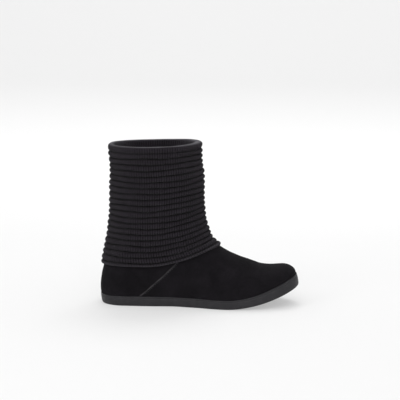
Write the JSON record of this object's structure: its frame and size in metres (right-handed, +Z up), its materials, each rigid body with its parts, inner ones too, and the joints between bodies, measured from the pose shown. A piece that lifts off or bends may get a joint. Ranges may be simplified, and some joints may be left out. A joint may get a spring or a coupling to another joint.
{
  "type": "winter boot",
  "caption": "Right winter boot: black suede lower on a flat rubber sole, with a ribbed knit shaft turned over at the top and folded down over the ankle.",
  "frame": {"origin": "centre of the bounding box at the floor, under the boot", "axes": "+X towards the toe, +Z up, -Y towards the outer (lateral) side of this right boot"},
  "size_m": [0.262, 0.0974, 0.2141],
  "materials": {
    "sole_rubber": "matte",
    "suede": "matte",
    "insole_cover": "matte",
    "knit_wool": "matte"
  },
  "bodies": {
    "root": {"outsole": "sole_rubber", "upper": "suede", "insole": "insole_cover", "shaft": "knit_wool"}
  },
  "joints": []
}
